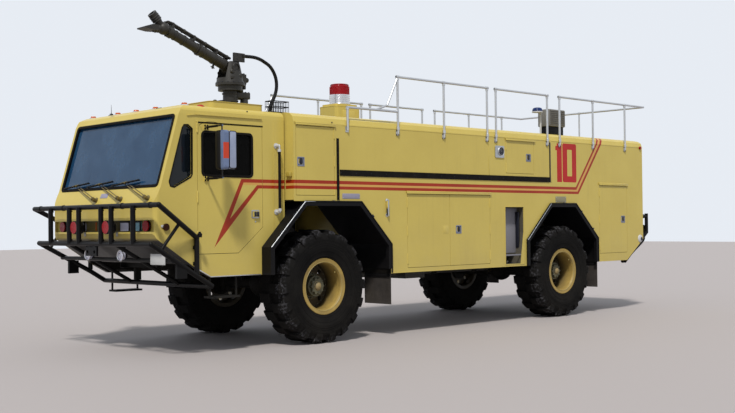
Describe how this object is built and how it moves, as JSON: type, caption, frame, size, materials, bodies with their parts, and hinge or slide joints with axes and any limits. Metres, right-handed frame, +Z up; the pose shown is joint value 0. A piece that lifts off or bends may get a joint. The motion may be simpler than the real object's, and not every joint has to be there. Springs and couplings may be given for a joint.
{
  "type": "airport fire truck",
  "caption": "Four by four airport fire tender with forward cab, guard bars, roof monitor on an elevating barrel, railed roof deck, side lockers and large off-road tyres.",
  "frame": {"origin": "on the ground under the middle of the truck's length and width", "axes": "+X forward, +Y the vehicle's left, +Z up"},
  "size_m": [10.5841, 3.254, 4.3413],
  "materials": {
    "body_paint": "gloss lime-yellow paint, slightly faded and dusty",
    "black_paint": "satin black paint, dusty below",
    "machine_grey": "grey painted castings, oily dust",
    "black_rubber": "dull black rubber",
    "tyre_rubber": "worn black tyre rubber with dust",
    "wheel_gold": "dull gold-yellow paint with grime",
    "tinted_glass": "tinted cab glass",
    "clear_lens": "clear lamp glass over reflectors",
    "red_lens": "red lamp plastic",
    "amber_lens": "amber lamp plastic",
    "rail_alloy": "bare satin alloy tube",
    "bright_chrome": "chromium plate",
    "stainless": "brushed stainless steel",
    "monitor_paint": "dark weathered paint over castings",
    "dash_plastic": "dull dark plastic",
    "seat_vinyl": "dark vinyl"
  },
  "bodies": {
    "chassis": {"chassis_frame": "black_paint", "engine": "machine_grey", "driveline": "machine_grey", "front_axle": "black_paint", "rear_axle": "black_paint", "cab_shell": "body_paint", "dashboard": "dash_plastic", "seats": "seat_vinyl", "cab_glass": "tinted_glass", "front_guard": "black_paint", "clear_lenses": "clear_lens", "red_lenses": "red_lens", "amber_lenses": "amber_lens", "wipers": "black_paint", "wheel_arches": "black_paint", "mud_flaps": "black_rubber", "locker_module": "body_paint", "tank_body": "body_paint", "lower_body": "body_paint", "engine_body": "body_paint", "rub_strips": "black_rubber", "side_fittings": "stainless", "rear_guard": "black_paint", "hand_rails": "rail_alloy", "beacon_base": "bright_chrome", "beacon_lens": "red_lens", "monitor_base": "monitor_paint", "monitor_hose": "black_rubber"},
    "knuckle_left": {"knuckle_left": "black_paint"},
    "knuckle_right": {"knuckle_right": "black_paint"},
    "wheel_front_left": {"wheel_front_left": "wheel_gold", "tyre_front_left": "tyre_rubber"},
    "wheel_front_right": {"wheel_front_right": "wheel_gold", "tyre_front_right": "tyre_rubber"},
    "wheel_rear_left": {"wheel_rear_left": "wheel_gold", "tyre_rear_left": "tyre_rubber"},
    "wheel_rear_right": {"wheel_rear_right": "wheel_gold", "tyre_rear_right": "tyre_rubber"},
    "cab_door_left": {"cab_door_left": "body_paint", "door_glass_left": "tinted_glass", "mirror_left": "stainless"},
    "locker_door_front_left": {"locker_door_front_left": "body_paint"},
    "locker_door_mid_left": {"locker_door_mid_left": "body_paint"},
    "locker_door_aft_left": {"locker_door_aft_left": "body_paint"},
    "locker_door_rear_left": {"locker_door_rear_left": "body_paint"},
    "cab_door_right": {"cab_door_right": "body_paint", "door_glass_right": "tinted_glass", "mirror_right": "stainless"},
    "locker_door_front_right": {"locker_door_front_right": "body_paint"},
    "locker_door_mid_right": {"locker_door_mid_right": "body_paint"},
    "locker_door_aft_right": {"locker_door_aft_right": "body_paint"},
    "locker_door_rear_right": {"locker_door_rear_right": "body_paint"},
    "tank_door": {"tank_door": "body_paint"},
    "monitor_turret": {"monitor_turret": "monitor_paint"},
    "monitor_barrel": {"monitor_barrel": "monitor_paint"}
  },
  "joints": [
    {"name": "steer_left", "type": "hinge", "parent": "chassis", "child": "knuckle_left", "pos_m": [2.5785, 0.89, 0.745], "axis": [0, 0, 1], "range_deg": [-28, 28]},
    {"name": "roll_front_left", "type": "hinge", "parent": "knuckle_left", "child": "wheel_front_left", "pos_m": [2.5785, 1.07, 0.745], "axis": [0, 1, 0], "continuous": true},
    {"name": "roll_rear_left", "type": "hinge", "parent": "chassis", "child": "wheel_rear_left", "pos_m": [-2.6875, 1.07, 0.745], "axis": [0, 1, 0], "continuous": true},
    {"name": "cab_door_left_swing", "type": "hinge", "parent": "chassis", "child": "cab_door_left", "pos_m": [4.5065, 1.202, 2], "axis": [0, 0, -1], "range_deg": [0, 75]},
    {"name": "locker_front_left_swing", "type": "hinge", "parent": "chassis", "child": "locker_door_front_left", "pos_m": [2.4385, 1.36, 2], "axis": [0, 0, 1], "range_deg": [0, 110]},
    {"name": "locker_mid_left_swing", "type": "hinge", "parent": "chassis", "child": "locker_door_mid_left", "pos_m": [1.0605, 1.36, 1.5], "axis": [0, 0, -1], "range_deg": [0, 110]},
    {"name": "locker_aft_left_swing", "type": "hinge", "parent": "chassis", "child": "locker_door_aft_left", "pos_m": [-0.7515, 1.36, 1.5], "axis": [0, 0, 1], "range_deg": [0, 110]},
    {"name": "locker_rear_left_swing", "type": "hinge", "parent": "chassis", "child": "locker_door_rear_left", "pos_m": [-3.6815, 1.36, 1.5], "axis": [0, 0, -1], "range_deg": [0, 110]},
    {"name": "steer_right", "type": "hinge", "parent": "chassis", "child": "knuckle_right", "pos_m": [2.5785, -0.89, 0.745], "axis": [0, 0, 1], "range_deg": [-28, 28]},
    {"name": "roll_front_right", "type": "hinge", "parent": "knuckle_right", "child": "wheel_front_right", "pos_m": [2.5785, -1.07, 0.745], "axis": [0, 1, 0], "continuous": true},
    {"name": "roll_rear_right", "type": "hinge", "parent": "chassis", "child": "wheel_rear_right", "pos_m": [-2.6875, -1.07, 0.745], "axis": [0, 1, 0], "continuous": true},
    {"name": "cab_door_right_swing", "type": "hinge", "parent": "chassis", "child": "cab_door_right", "pos_m": [4.5065, -1.202, 2], "axis": [0, 0, 1], "range_deg": [0, 75]},
    {"name": "locker_front_right_swing", "type": "hinge", "parent": "chassis", "child": "locker_door_front_right", "pos_m": [2.4385, -1.36, 2], "axis": [0, 0, -1], "range_deg": [0, 110]},
    {"name": "locker_mid_right_swing", "type": "hinge", "parent": "chassis", "child": "locker_door_mid_right", "pos_m": [1.0605, -1.36, 1.5], "axis": [0, 0, 1], "range_deg": [0, 110]},
    {"name": "locker_aft_right_swing", "type": "hinge", "parent": "chassis", "child": "locker_door_aft_right", "pos_m": [-0.7515, -1.36, 1.5], "axis": [0, 0, -1], "range_deg": [0, 110]},
    {"name": "locker_rear_right_swing", "type": "hinge", "parent": "chassis", "child": "locker_door_rear_right", "pos_m": [-3.6815, -1.36, 1.5], "axis": [0, 0, 1], "range_deg": [0, 110]},
    {"name": "tank_door_swing", "type": "hinge", "parent": "chassis", "child": "tank_door", "pos_m": [-1.1615, 1.36, 2.575], "axis": [0, 0, -1], "range_deg": [0, 110]},
    {"name": "monitor_slew", "type": "hinge", "parent": "chassis", "child": "monitor_turret", "pos_m": [3.1085, 0, 3.46], "axis": [0, 0, 1], "range_deg": [-90, 90], "deforming": ["monitor_hose"]},
    {"name": "monitor_elevate", "type": "hinge", "parent": "monitor_turret", "child": "monitor_barrel", "pos_m": [3.1085, 0, 3.7], "axis": [0, -1, 0], "range_deg": [-31, 38]}
  ],
  "couplings": [
    {"joint": "steer_right", "follows": "steer_left", "ratio": 1}
  ]
}
